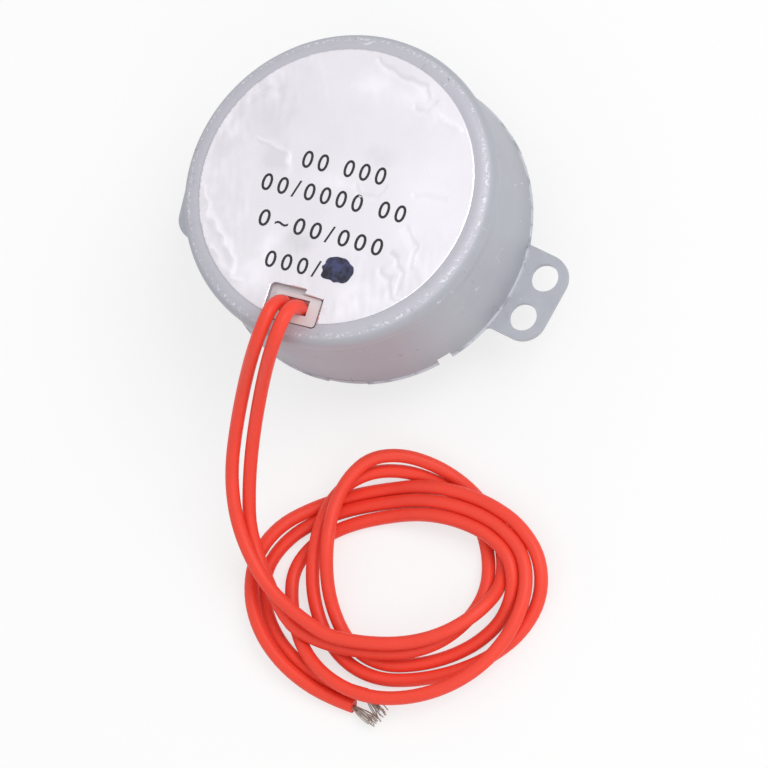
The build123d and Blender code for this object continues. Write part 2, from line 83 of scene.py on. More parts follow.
# Layers that the turns lie on: angle and layer
COIL_CLIMBS = (
    (
        (0, 2.6), (50, 1.75), (150, 1.75), (188, 0), (228, 0), (285, 1.75), (328, 1.75), (405, 0),
        (515, 0), (545, 1), (590, 1), (660, 0), (738, 0), (772, 1), (958, 1), (1018, 0),
    ),
    (
        (0, 1.8), (45, 0.9), (138, 0.88), (195, 0), (235, 0), (288, 0.88), (342, 0.88), (395, 0),
        (520, 0), (560, 1), (607, 1), (648, 0), (672, 0), (700, 0.9), (738, 0.9), (783, 0.1),
    ),
)
WIRE_R = 1.05
CORD_STEPS = 5

# Stripped ends, in millimetres and degrees, with shares of the splay and of a strand's length, and counts
STRAND_TURN = (-34.0, -14.0)
STRAND_BUNDLE = 0.4
STRAND_SPLAY = 15.0
STRAND_FLATTEN = 0.25
STRAND_BOW = 0.12
STRAND_SHORTEST = 0.72
STRAND_STEPS = 6
STRAND_SIDES = 8

# Label, in millimetres and degrees, with its window for the bushing, its print and its dab
LABEL_R = 21.35
LABEL_LOW = 20.9
LABEL_THICK = 0.1
RIM_HOLD = 1.2
WINDOW_CENTRE = (0.6, -19.0)
WINDOW_TURN = 3.6
WINDOW_NEAR = 7.0
CUT_X = (-4.2, 4.5)
CUT_Y = 2.7
CUT_CORNER = 0.7
FLAP = ((1.5, 2.7), (1.35, 1.95), (4.25, 1.75), (4.5, 1.9))
POLE_COUNT = 12
POLE_WINDOW = (13.3, 20.7)
POLE_WINDOW_HALF = (1.3, 0.9)
POLE_WINDOW_SLOPES = (0.7, 0.8)
POLE_WINDOW_SINK = 0.2
PRINT_ROWS = (
    ("00 000", (-6.4, 2.5), (7.1, 3.3), 2.75),
    ("00/0000 00", (-11.2, -2.5), (12.2, -1.3), 2.7),
    ("0~00/000", (-9.5, -7.8), (10.7, -7.05), 2.65),
    ("000/", (-6.1, -13.5), (2.6, -12.85), 2.6),
)
DAB_CENTRE = (5.4, -12.15)
DAB_SIZE = (2.5, 1.95)
DAB_RINGS = 6
DAB_SPOKES = 48
DAB_WOBBLE = 0.28
DAB_LOBES = 2.1
DAB_SLICE = 5.0
DAB_LIFT = 0.06
PRINT_LIFT = 0.03
PRINT_SPACING = 1.4
PRINT_WEIGHT = 0.006
PRINT_STEPS = 4

# Mesh of the label: the grid in millimetres, shares of it, and then the triangulation
LABEL_GRID = 0.28
ROW_RISE = 0.866
RIM_STEPS = 1.2
RIM_CLEAR = 0.6
CUT_CLEAR = 0.5
CROSSING_STEP = 0.01
MERGE_WITHIN = 1e-6
KEEP_INSIDE = 1

# Creases in the foil: strength of a painted highlight on the ridge with painted shade on its flank,
# swapped where negative, and line
CREASE_WIDTH = 0.45
CREASE_WANDER = 0.5
CREASE_LIFT = 0.9
CREASE_FLANK = (0.55, 0.45)
FLANK_SHADE = 0.6
CREASES = (
    (0.9, ((-19.5, -6.0), (-18.4, -7.8), (-16.7, -10.0), (-13.0, -12.7), (-11.5, -14.3), (-10.0, -16.6))),
    (-0.5, ((-17.6, 8.8), (-15.5, 11.1), (-13.5, 11.6))),
    (0.6, ((-14.2, 3.7), (-8.7, 2.7), (-8.4, 1.2))),
    (-0.9, ((-0.6, 20.2), (0.9, 19.3), (5.5, 18.6), (8.0, 18.2), (9.0, 16.8))),
    (-0.7, ((7.6, 14.8), (9.4, 14.5), (10.4, 16.2))),
    (0.5, ((12.1, 14.5), (15.3, 13.3))),
    (-0.6, ((3.4, 0.7), (4.6, -0.3), (6.9, 0.1), (7.9, 1.8))),
    (-0.4, ((12.7, 2.1), (17.4, 2.7))),
    (-0.9, ((12.0, -10.1), (13.6, -11.2), (14.3, -13.1), (16.4, -14.0))),
    (-0.9, ((12.5, -7.2), (15.1, -9.7), (15.8, -12.6))),
    (-0.7, ((13.2, -3.3), (15.7, -5.3), (16.2, -8.4))),
    (0.6, ((-14.7, -14.3), (-12.7, -16.1), (-8.7, -17.8))),
)

# Soft patches of painted reflection on the foil: middle, size and strength, lighter above 0 and darker
# below
PAINTED_FOIL_REFLECTIONS = (
    ((0.2, 16.3), (2.2, 2.0), 0.8),
    ((5.5, 16.0), (2.4, 1.1), 0.45),
    ((11.3, 14.3), (1.6, 1.6), 0.5),
    ((15.0, 3.0), (5.0, 8.0), 0.35),
    ((-10.6, 1.2), (1.8, 1.5), -0.9),
    ((-19.0, 1.8), (1.2, 2.2), -0.8),
    ((-13.0, 7.5), (3.2, 3.0), -0.5),
    ((-8.2, 0.9), (0.6, 1.5), 0.7),
    ((-1.0, 0.4), (3.4, 1.0), 0.4),
    ((5.4, 6.0), (2.2, 1.3), -0.5),
    ((-6.2, -12.0), (1.4, 2.6), 0.9),
    ((-2.0, -9.8), (2.2, 1.7), -0.9),
    ((-6.8, -16.6), (2.2, 2.0), 0.7),
    ((8.2, -15.0), (1.4, 2.0), 0.5),
)
# Painted light rising towards +x across the foil, painted shade that follows its dents and crumples, and
# the gain of all painted light and shade
PAINTED_LIGHT_SLOPE = 0.022
PAINTED_SHADE_BROAD = 0.2
PAINTED_SHADE_SMALL = 0.4
PAINTED_SHADE_FINE = 0.55
PAINTED_SHADING_GAIN = 0.65

# Unevenness of the foil: scales and slices of noise, where it is crumpled, and middles and sizes of swells
BROAD_SCALE = 0.17
SMALL_SCALE = 0.55
FINE_SCALE = (1.3, 0.4)
FINE_TURN = (0.93, 0.37)
NOISE_SLICES = (3.1, 7.7, 2.3)
CRUMPLE_LEFT = 8.0
CRUMPLE_LOW = (0.6, 11.0)
CRUMPLE_BLEND = 6.0
CRUMPLE_PATCHES = (0.7, 1.2)
SMALL_LIFT = (0.1, 0.35)
FINE_LIFT = (0.02, 0.16)
SWELL_LIFT = 1.1
SWELLS = (((-17.3, 3.4), 1.2), ((-0.1, 15.6), 3.4), ((3.1, 0.9), 3.0), ((-12.7, 2.5), 2.6))

# Camera, in millimetres, in the part's frame
CAMERA_AT = (224.696, -115.388, 545.77)
CAMERA_RIGHT = (0.88868405, 0.35644877, -0.28841797)
CAMERA_DOWN = (0.28260348, -0.92114072, -0.26764723)
CAMERA_AHEAD = (-0.36107607, 0.1563459, -0.91933674)
CAMERA_LENS = 184.79
CAMERA_SENSOR = 36.0
CAMERA_CLIP = (0.01, 20.0)

# Stage, in metres: each light's name, place, target, size and share of the key light's power
FLOOR_HALF = 4.0
FLOOR_GAP = 0.00002
LIGHTS = (
    ("key_light", (0.45, 0.3, 0.75), (0, -0.02, 0), 0.6, 1.0),
    ("fill_light", (0.5, -0.4, 0.55), (0, -0.02, 0), 0.35, 0.22),
    ("glint_light", (-0.5, 0.12, 0.62), (0, 0, 0.02), 0.26, 0.02),
)

# Finishes: finer mottle, blurs of scuffs and grain, and share of the painted light and shade
MOTTLE_FINER = 6.0
MOTTLE_FINE_SHARE = 0.35
SCUFF_BLUR = 0.1
GRAIN_BLUR = 0.07
PAINTED_SHADING_SHARE = 0.8


def metres(point):
    return Vector(point) * MM


def clamp(value):
    return min(max(value, 0), 1)


def ease(share):
    """Smooth start and stop between 0 and 1."""
    return share * share * (3 - 2 * share)


def linear(red, green, blue):
    """Linear colour of a display colour given from 0 to 255."""
    return tuple(pow((c / 255 + 0.055) / 1.055, 2.4) for c in (red, green, blue))


def scaled(colour, share):
    """A lighter or darker colour, at most full white."""
    return tuple(min(c * share, 1.0) for c in colour)


# Shader trees
def add(tree, kind, values=None, links=None, **settings):
    """Adds a node with its settings, its socket values and the sockets that feed it."""
    made = tree.nodes.new(kind)
    for name, value in settings.items():
        setattr(made, name, value)
    for name, value in (values or {}).items():
        made.inputs[name].default_value = value
    for name, source in (links or {}).items():
        tree.links.new(source, made.inputs[name])
    return made


def new_group(name, inputs, outputs):
    group = bpy.data.node_groups.new(name, "ShaderNodeTree")
    for label, kind, default in inputs:
        socket = group.interface.new_socket(label, in_out="INPUT", socket_type=kind)
        socket.default_value = default
    for label, kind in outputs:
        group.interface.new_socket(label, in_out="OUTPUT", socket_type=kind)
    entry = group.nodes.new("NodeGroupInput")
    leave = group.nodes.new("NodeGroupOutput")
    return group, entry, leave


def mottle_group():
    """Two sizes of cloudy patches that change over the surface."""
    found = bpy.data.node_groups.get("Mottle")
    if found:
        return found
    inputs = [("Scale", "NodeSocketFloat", 300.0), ("Contrast", "NodeSocketFloat", 1.0)]
    group, entry, leave = new_group("Mottle", inputs, [("Mask", "NodeSocketFloat")])
    place = add(group, "ShaderNodeTexCoord").outputs["Object"]
    scale = entry.outputs["Scale"]
    broad = add(group, "ShaderNodeTexNoise", {"Detail": 3.0, "Roughness": 0.55},
                {"Vector": place, "Scale": scale})
    finer = add(group, "ShaderNodeMath", {1: MOTTLE_FINER}, {0: scale}, operation="MULTIPLY")
    fine = add(group, "ShaderNodeTexNoise", {"Detail": 2.0}, {"Vector": place, "Scale": finer.outputs[0]})
    both = add(group, "ShaderNodeMix", {"Factor": MOTTLE_FINE_SHARE},
               {"A": broad.outputs[0], "B": fine.outputs[0]})
    shift = add(group, "ShaderNodeMath", {1: 0.5}, {0: both.outputs[0]}, operation="SUBTRACT")
    spread = add(group, "ShaderNodeMath", {2: 0.5}, {0: shift.outputs[0], 1: entry.outputs["Contrast"]},
                 operation="MULTIPLY_ADD", use_clamp=True)
    group.links.new(spread.outputs[0], leave.inputs["Mask"])
    return group


def scuff_group():
    """Sparse short scratches and specks."""
    found = bpy.data.node_groups.get("Scuffs")
    if found:
        return found
    inputs = [
        ("Scale", "NodeSocketFloat", 400.0),
        ("Sparsity", "NodeSocketFloat", 0.66),
        ("Stretch", "NodeSocketVector", (1.0, 1.0, 0.25)),
    ]
    group, entry, leave = new_group("Scuffs", inputs, [("Mask", "NodeSocketFloat")])
    place = add(group, "ShaderNodeTexCoord").outputs["Object"]
    given = entry.outputs
    pulled = add(group, "ShaderNodeVectorMath", None, {0: place, 1: given["Stretch"]},
                 operation="MULTIPLY")
    marks = add(group, "ShaderNodeTexNoise", {"Detail": 4.0, "Roughness": 0.7, "Distortion": 1.2},
                {"Vector": pulled.outputs[0], "Scale": given["Scale"]})
    upper = add(group, "ShaderNodeMath", {1: SCUFF_BLUR}, {0: given["Sparsity"]}, operation="ADD")
    mask = add(group, "ShaderNodeMapRange", None,
               {"Value": marks.outputs[0], "From Min": given["Sparsity"], "From Max": upper.outputs[0]},
               interpolation_type="SMOOTHSTEP")
    group.links.new(mask.outputs[0], leave.inputs["Mask"])
    return group


def edge_mask(group, value, middle, blur):
    """Rises smoothly from 0 to 1 as a value passes its middle."""
    start = add(group, "ShaderNodeMath", None, {0: middle, 1: blur}, operation="SUBTRACT")
    end = add(group, "ShaderNodeMath", None, {0: middle, 1: blur}, operation="ADD")
    made = add(group, "ShaderNodeMapRange", None,
               {"Value": value, "From Min": start.outputs[0], "From Max": end.outputs[0]},
               interpolation_type="SMOOTHSTEP")
    return made.outputs[0]


def shading_band_group():
    """A band of another colour between two heights on the piece, broken up by grain, for painted
    highlights, painted shade and a darkening towards the rim.
    """
    found = bpy.data.node_groups.get("Painted shading band")
    if found:
        return found
    inputs = [
        ("Low", "NodeSocketFloat", 0.0),
        ("High", "NodeSocketFloat", 0.001),
        ("Blur", "NodeSocketFloat", 0.0002),
        ("Scale", "NodeSocketFloat", 1000.0),
        ("Sparsity", "NodeSocketFloat", 0.5),
    ]
    group, entry, leave = new_group("Painted shading band", inputs, [("Mask", "NodeSocketFloat")])
    given = entry.outputs
    place = add(group, "ShaderNodeTexCoord").outputs["Object"]
    height = add(group, "ShaderNodeSeparateXYZ", None, {0: place}).outputs["Z"]
    rise = edge_mask(group, height, given["Low"], given["Blur"])
    fall = edge_mask(group, height, given["High"], given["Blur"])
    band = add(group, "ShaderNodeMath", None, {0: rise, 1: fall}, operation="SUBTRACT")
    grain = add(group, "ShaderNodeTexNoise", {"Detail": 3.0, "Roughness": 0.6},
                {"Vector": place, "Scale": given["Scale"]})
    blur = add(group, "ShaderNodeValue").outputs[0]
    blur.default_value = GRAIN_BLUR
    specks = edge_mask(group, grain.outputs[0], given["Sparsity"], blur)
    both = add(group, "ShaderNodeMath", None, {0: band.outputs[0], 1: specks}, operation="MULTIPLY")
    group.links.new(both.outputs[0], leave.inputs["Mask"])
    return group


def dimple_group():
    """Height of a fine uneven skin, for bump."""
    found = bpy.data.node_groups.get("Dimples")
    if found:
        return found
    inputs = [("Scale", "NodeSocketFloat", 800.0)]
    group, entry, leave = new_group("Dimples", inputs, [("Height", "NodeSocketFloat")])
    place = add(group, "ShaderNodeTexCoord").outputs["Object"]
    skin = add(group, "ShaderNodeTexNoise", {"Detail": 5.0, "Roughness": 0.6},
               {"Vector": place, "Scale": entry.outputs["Scale"]})
    group.links.new(skin.outputs[0], leave.inputs["Height"])
    return group


def use_group(tree, group, **values):
    made = tree.nodes.new("ShaderNodeGroup")
    made.node_tree = group
    for name, value in values.items():
        made.inputs[name.replace("_", " ").title()].default_value = value
    return made


def blend_colour(tree, mask, low, high):
    made = tree.nodes.new("ShaderNodeMix")
    made.data_type = "RGBA"
    tree.links.new(mask, made.inputs[0])
    for socket, value in ((made.inputs[6], low), (made.inputs[7], high)):
        if hasattr(value, "node"):
            tree.links.new(value, socket)
        else:
            socket.default_value = (*value, 1.0)
    return made.outputs[2]


def span(tree, mask, low, high):
    made = add(tree, "ShaderNodeMapRange", {"To Min": low, "To Max": high}, {"Value": mask})
    return made.outputs[0]


def shader(name, **constants):
    """A material with a bare Principled shader whose constant sockets are set."""
    made = bpy.data.materials.new(name)
    made.use_nodes = True
    surface = made.node_tree.nodes["Principled BSDF"]
    for socket, value in constants.items():
        surface.inputs[socket.replace("_", " ")].default_value = value
    return made, made.node_tree, surface


def bump(tree, surface, height, depth):
    made = add(tree, "ShaderNodeBump", {"Strength": 1.0, "Distance": depth}, {"Height": height})
    tree.links.new(made.outputs["Normal"], surface.inputs["Normal"])


def finish_material(
        name, colour, shade, rough, mottle, skin, scuffs=(), shading_bands=(), painted_shading="", **constants):
    """Mottled colour and roughness, a fine skin and, where given, scuffs, bands of another colour
    for painted highlights and shade, and painted light and shade from a mesh attribute.

    mottle is (scale, contrast), skin is (scale, depth in metres), each of scuffs is
    (scale, sparsity, stretch, colour), each of shading_bands is (low, high, blur, scale, sparsity,
    colour), and painted_shading is a mesh attribute of painted light and shade that leads the mottle."""
    made, tree, surface = shader(name, **constants)
    clouds = use_group(tree, mottle_group(), scale=mottle[0], contrast=mottle[1]).outputs["Mask"]
    lead = clouds
    # Painted light and shade from a mesh attribute leads the mottle
    if painted_shading:
        given = add(tree, "ShaderNodeAttribute", attribute_name=painted_shading).outputs["Fac"]
        lead = add(tree, "ShaderNodeMix", {"Factor": PAINTED_SHADING_SHARE}, {"A": clouds, "B": given}).outputs[0]
    tint = blend_colour(tree, lead, shade, colour)
    for low, high, blur, scale, sparsity, band_colour in shading_bands:
        shading_band = use_group(tree, shading_band_group(), low=low, high=high, blur=blur, scale=scale, sparsity=sparsity)
        tint = blend_colour(tree, shading_band.outputs["Mask"], tint, band_colour)
    for scale, sparsity, stretch, mark_colour in scuffs:
        marks = use_group(tree, scuff_group(), scale=scale, sparsity=sparsity, stretch=stretch)
        tint = blend_colour(tree, marks.outputs["Mask"], tint, mark_colour)
    tree.links.new(tint, surface.inputs["Base Color"])
    tree.links.new(span(tree, clouds, *rough), surface.inputs["Roughness"])
    height = use_group(tree, dimple_group(), scale=skin[0]).outputs["Height"]
    bump(tree, surface, height, skin[1])
    return made


# Settings that a user would change
class MotorLeadSettings(bpy.types.PropertyGroup):
    colour: FloatVectorProperty(
        name="Insulation", description="Colour of the leads' insulation",
        default=linear(246, 74, 56), subtype="COLOR", min=0.0, max=1.0)
    radius: FloatProperty(
        name="Lead radius", description="Outer radius of a lead", default=WIRE_R * MM, unit="LENGTH")
    strand_count: IntProperty(
        name="Strands", description="Bare strands at each stripped end", default=20, min=3, max=40)
    strand_radius: FloatProperty(
        name="Strand radius", description="Radius of one bare strand", default=0.085 * MM, unit="LENGTH")
    strand_length: FloatProperty(
        name="Bare length", description="Length of the stripped conductor",
        default=4.6 * MM, unit="LENGTH")
    strand_seed: IntProperty(name="Strand seed", description="Seed for the strands' spread", default=7)


class MotorLabelSettings(bpy.types.PropertyGroup):
    foil: FloatVectorProperty(
        name="Foil", description="Colour of the label's foil",
        default=linear(233, 230, 237), subtype="COLOR", min=0.0, max=1.0)
    ink: FloatVectorProperty(
        name="Print", description="Colour of the printed figures",
        default=linear(22, 20, 25), subtype="COLOR", min=0.0, max=1.0)
    dab: FloatVectorProperty(
        name="Marker dab", description="Colour of the marker dab",
        default=linear(62, 66, 108), subtype="COLOR", min=0.0, max=1.0)
    dent: FloatProperty(
        name="Dent depth", description="How deep the foil is dented", default=0.15 * MM, unit="LENGTH")


class MotorFinishSettings(bpy.types.PropertyGroup):
    zinc: FloatVectorProperty(
        name="Zinc", description="Colour of the plated steel",
        default=linear(185, 187, 195), subtype="COLOR", min=0.0, max=1.0)
    nylon: FloatVectorProperty(
        name="Nylon", description="Colour of the lead bushing",
        default=linear(222, 214, 216), subtype="COLOR", min=0.0, max=1.0)


class MotorStageSettings(bpy.types.PropertyGroup):
    floor: FloatVectorProperty(
        name="Floor", description="Colour of the floor",
        default=(0.93, 0.93, 0.93), subtype="COLOR", min=0.0, max=1.0)
    glow: FloatProperty(
        name="Floor white", description="Share of plain white in the floor as it is seen",
        default=0.66, min=0.0, max=1.0, subtype="FACTOR")
    sky: FloatProperty(name="Sky", description="Strength of the even light", default=0.72, min=0.0)
    key: FloatProperty(
        name="Key", description="Power of the main soft light", default=3.0, subtype="POWER")


# Lead lines
def layer_at(lead, angle):
    climbs = COIL_CLIMBS[lead]
    for (start, low), (end, high) in zip(climbs, climbs[1:]):
        if start <= angle <= end:
            return low + (high - low) * ease((angle - start) / (end - start))
    return climbs[-1][1]


def radius_at(lead, angle):
    """Quarters of ellipses through the radii at each quarter turn."""
    radii = COIL_RADII[lead]
    quarter = min(int(angle // 90), len(radii) - 2)
    turn = radians(angle - 90 * quarter)
    return 1 / hypot(cos(turn) / radii[quarter], sin(turn) / radii[quarter + 1])


def coil_point(lead, angle):
    radius = radius_at(lead, angle)
    turn = radians(COIL_START + angle)
    spot = Vector((COIL_CENTRE[0] + radius * cos(turn), COIL_CENTRE[1] + radius * sin(turn)))
    for middle, reach, shift in COIL_LEANS[lead]:
        spot += Vector(shift) * ease(1 - min(abs(angle - middle) / reach, 1))
    return Vector((*spot, FLOOR_Z + WIRE_R + LAYER_STEP * layer_at(lead, angle)))


def coil_heading(lead, angle):
    return (coil_point(lead, angle + 0.5) - coil_point(lead, angle - 0.5)).normalized()


def lead_end(lead):
    """Cut end of a lead and the way it points."""
    turn = COIL_TURN[lead]
    aim = coil_heading(lead, turn)
    return coil_point(lead, turn) + aim * 2 * WIRE_R, aim


def lead_points(lead):
    points = [Vector((LEAD_X[lead], LEAD_Y, height)) for height in (SLOT_FLOOR, RISE_TOP)]
    points += [Vector(spot) for spot in LEAD_ROUTES[lead]]
    run = COIL_TURN[lead] - COIL_JOIN[lead]
    steps = round(run / COIL_STEP)
    points += [coil_point(lead, COIL_JOIN[lead] + run * k / steps) for k in range(steps + 1)]
    return points + [lead_end(lead)[0]]


# Meshes
def link(name, data):
    made = bpy.data.objects.new(name, data)
    bpy.context.scene.collection.objects.link(made)
    return made


def mesh_object(name, points, faces, material):
    data = bpy.data.meshes.new(name)
    data.from_pydata([tuple(p) for p in points], [], faces)
    data.update()
    data.materials.append(material)
    return link(name, data)


def baked_copy(source, name):
    """The evaluated mesh of an object as a plain object, with the source removed."""
    bpy.context.view_layer.update()
    depsgraph = bpy.context.evaluated_depsgraph_get()
    data = bpy.data.meshes.new_from_object(source.evaluated_get(depsgraph))
    data.name = name
    bpy.data.objects.remove(source)
    return link(name, data)


def smooth(data):
    data.polygons.foreach_set("use_smooth", [True] * len(data.polygons))


def wear_finish(material, *nodes):
    """Puts a material on CAD nodes, which stay as they are."""
    for name in nodes:
        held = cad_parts[name].data.materials
        held.clear()
        held.append(material)


# Stripped ends
def strand_tree(material):
    """A fan of fine bent strands along +Z, from a small bundle."""
    tree = bpy.data.node_groups.new("Strand fan", "GeometryNodeTree")
    face = tree.interface
    for name, kind in (
        ("Strands", "NodeSocketInt"), ("Strand Radius", "NodeSocketFloat"),
        ("Length", "NodeSocketFloat"), ("Bundle", "NodeSocketFloat"),
        ("Splay", "NodeSocketFloat"), ("Seed", "NodeSocketInt"),
    ):
        face.new_socket(name, in_out="INPUT", socket_type=kind)
    face.new_socket("Geometry", in_out="OUTPUT", socket_type="NodeSocketGeometry")
    entry = tree.nodes.new("NodeGroupInput")
    leave = tree.nodes.new("NodeGroupOutput")
    given = entry.outputs
    low = add(tree, "ShaderNodeCombineXYZ", None, {"X": given["Bundle"], "Y": given["Bundle"]})
    back = add(tree, "ShaderNodeVectorMath", {1: (-1.0, -1.0, 0.0)}, {0: low.outputs[0]},
               operation="MULTIPLY")
    spot = add(tree, "FunctionNodeRandomValue", None,
               {"Min": back.outputs[0], "Max": low.outputs[0], "Seed": given["Seed"]},
               data_type="FLOAT_VECTOR")
    dots = add(tree, "GeometryNodePoints", None, {"Count": given["Strands"], "Position": spot.outputs[0]})
    middle = add(tree, "ShaderNodeMath", {1: 0.5}, {0: given["Length"]}, operation="MULTIPLY")
    bow = add(tree, "ShaderNodeMath", {1: STRAND_BOW}, {0: given["Length"]}, operation="MULTIPLY")
    bend = add(tree, "ShaderNodeCombineXYZ", None, {"X": bow.outputs[0], "Z": middle.outputs[0]})
    tip = add(tree, "ShaderNodeCombineXYZ", None, {"Z": given["Length"]})
    line = add(tree, "GeometryNodeCurveQuadraticBezier",
               {"Resolution": STRAND_STEPS, "Start": (0.0, 0.0, 0.0)},
               {"Middle": bend.outputs[0], "End": tip.outputs[0]})
    ring = add(tree, "GeometryNodeCurvePrimitiveCircle", {"Resolution": STRAND_SIDES},
               {"Radius": given["Strand Radius"]})
    rod = add(tree, "GeometryNodeCurveToMesh", {"Fill Caps": True},
              {"Curve": line.outputs[0], "Profile Curve": ring.outputs[0]})
    flat = add(tree, "ShaderNodeMath", {1: STRAND_FLATTEN}, {0: given["Splay"]}, operation="MULTIPLY")
    wide = add(tree, "ShaderNodeCombineXYZ", {"Z": pi}, {"X": flat.outputs[0], "Y": given["Splay"]})
    less = add(tree, "ShaderNodeVectorMath", {1: (-1.0, -1.0, -1.0)}, {0: wide.outputs[0]},
               operation="MULTIPLY")
    next_seed = add(tree, "ShaderNodeMath", {1: 1.0}, {0: given["Seed"]}, operation="ADD")
    turn = add(tree, "FunctionNodeRandomValue", None,
               {"Min": less.outputs[0], "Max": wide.outputs[0], "Seed": next_seed.outputs[0]},
               data_type="FLOAT_VECTOR")
    grow = add(tree, "FunctionNodeRandomValue", {2: STRAND_SHORTEST, 3: 1.0}, {"Seed": given["Seed"]},
               data_type="FLOAT")
    fan = add(tree, "GeometryNodeInstanceOnPoints", None,
              {"Points": dots.outputs[0], "Instance": rod.outputs[0], "Rotation": turn.outputs[0],
               "Scale": grow.outputs[1]})
    real = add(tree, "GeometryNodeRealizeInstances", None, {"Geometry": fan.outputs[0]})
    coat = add(tree, "GeometryNodeSetMaterial", {"Material": material}, {"Geometry": real.outputs[0]})
    tree.links.new(coat.outputs[0], leave.inputs["Geometry"])
    return tree


def strand_fan(lead, tree, settings):
    """The stripped end of a lead, made by the tree and then placed in its mesh."""
    holder = link("strand_holder", bpy.data.meshes.new("strand_holder"))
    modifier = holder.modifiers.new("Strands", "NODES")
    modifier.node_group = tree
    values = {
        "Strands": settings.strand_count, "Strand Radius": settings.strand_radius,
        "Length": settings.strand_length, "Bundle": STRAND_BUNDLE * MM, "Splay": radians(STRAND_SPLAY),
        "Seed": settings.strand_seed + lead,
    }
    for item in tree.interface.items_tree:
        if item.in_out == "INPUT":
            modifier[item.identifier] = values[item.name]
    made = baked_copy(holder, f"lead_{lead + 1}_bare_end")
    end, aim = lead_end(lead)
    level = Vector((aim.x, aim.y, 0)).normalized()
    way = Matrix.Rotation(radians(STRAND_TURN[lead]), 3, "Z") @ level
    turn = way.to_track_quat("Z", "Y").to_matrix().to_4x4()
    made.data.transform(Matrix.Translation(metres(end)) @ turn)
    smooth(made.data)
    return made


class MOTOR_OT_leads(bpy.types.Operator):
    """Lay the two red leads from the bushing into their loose coil, with stripped ends"""

    bl_idname = "motor.leads"
    bl_label = "Leads"

    def execute(self, context):
        settings = context.scene.motor_leads
        colour = tuple(settings.colour)
        shade = scaled(colour, 0.86)
        red = finish_material(
            "red_insulation", colour, shade, (0.34, 0.46), (240.0, 1.3), (1500.0, 0.00002),
            Specular_IOR_Level=0.28)
        tin = finish_material(
            "tinned_strands", linear(206, 198, 192), linear(140, 122, 110), (0.28, 0.5),
            (900.0, 2.0), (4000.0, 0.00001), Metallic=1.0)
        tree = strand_tree(tin)
        for lead in range(len(LEAD_X)):
            name = f"lead_{lead + 1}"
            points = lead_points(lead)
            line = bpy.data.curves.new(name + "_cord", "CURVE")
            line.dimensions = "3D"
            spline = line.splines.new("NURBS")
            spline.points.add(len(points) - 1)
            for held, spot in zip(spline.points, points):
                held.co = (*metres(spot), 1.0)
            spline.order_u = 3
            spline.use_endpoint_u = True
            spline.resolution_u = CORD_STEPS
            spline.use_smooth = True
            line.bevel_depth = settings.radius
            line.bevel_resolution = CORD_STEPS
            line.use_fill_caps = True
            line.materials.append(red)
            cord = link(name + "_cord", line)
            bare = strand_fan(lead, tree, settings)
            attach(cord, "motor")
            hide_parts(name, name + "_coil")
            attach(bare, "motor")
            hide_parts(name + "_strands")
        bpy.data.node_groups.remove(tree)
        return {"FINISHED"}


# Foil label
def window_sink(x, y):
    """From 0 to 1 over the windows in the case's end under the foil."""
    radius = hypot(x, y)
    pitch = 2 * pi / POLE_COUNT
    turn = atan2(y, x)
    off = abs(turn - pitch * round(turn / pitch)) * radius
    inner, outer = POLE_WINDOW
    inner_half, outer_half = POLE_WINDOW_HALF
    half = inner_half + (outer_half - inner_half) * clamp((radius - inner) / (outer - inner))
    across = clamp((half - off) / POLE_WINDOW_SLOPES[0])
    along = clamp(min(radius - inner, outer - radius) / POLE_WINDOW_SLOPES[1])
    return ease(across) * along


def crease_distance(x, y, line):
    """How far a place is from a line of straight runs."""
    near = []
    for (x0, y0), (x1, y1) in zip(line, line[1:]):
        run = (x1 - x0, y1 - y0)
        share = clamp(((x - x0) * run[0] + (y - y0) * run[1]) / (run[0] ** 2 + run[1] ** 2))
        near.append(hypot(x - x0 - run[0] * share, y - y0 - run[1] * share))
    return min(near)


def crumple(x, y):
    """Broad, small and fine unevenness of the foil, and how crumpled it is there from 0 to 1."""
    broad = noise.noise(Vector((x * BROAD_SCALE, y * BROAD_SCALE, NOISE_SLICES[0])))
    small = noise.noise(Vector((x * SMALL_SCALE, y * SMALL_SCALE, NOISE_SLICES[1])))
    across = FINE_TURN[0] * x + FINE_TURN[1] * y
    along = FINE_TURN[0] * y - FINE_TURN[1] * x
    fine = noise.noise(Vector((across * FINE_SCALE[0], along * FINE_SCALE[1], NOISE_SLICES[2])))
    left = clamp((-x - CRUMPLE_LEFT) / CRUMPLE_BLEND)
    low_right = clamp((CRUMPLE_LOW[0] * x - y - CRUMPLE_LOW[1]) / CRUMPLE_BLEND)
    rough = max(left, low_right) * clamp(CRUMPLE_PATCHES[0] + CRUMPLE_PATCHES[1] * broad)
    return broad, small, fine, rough


def foil_painted_shading(x, y):
    """From 0 to 1, the painted light and shade on the foil: painted light rising towards +x, painted
    reflections in soft patches, painted highlights on creases with painted shade on a flank, and painted
    shade on dents and fine crumples.
    """
    broad, small, fine, rough = crumple(x, y)
    painted_shading = PAINTED_LIGHT_SLOPE * x + PAINTED_SHADE_BROAD * broad + rough * (PAINTED_SHADE_SMALL * small + PAINTED_SHADE_FINE * fine)
    for (middle_x, middle_y), (wide, tall), strength in PAINTED_FOIL_REFLECTIONS:
        away = hypot((x + small - middle_x) / wide, (y + fine - middle_y) / tall)
        painted_shading += strength * exp(-away * away)
    near_x, near_y = x + CREASE_WANDER * small, y + CREASE_WANDER * small
    for strength, line in CREASES:
        ridge = crease_distance(near_x, near_y, line) / CREASE_WIDTH
        flank = crease_distance(near_x + CREASE_FLANK[0], near_y + CREASE_FLANK[1], line) / CREASE_WIDTH
        painted_shading += strength * (exp(-ridge * ridge) - FLANK_SHADE * exp(-flank * flank))
    return clamp(0.5 + PAINTED_SHADING_GAIN * painted_shading)


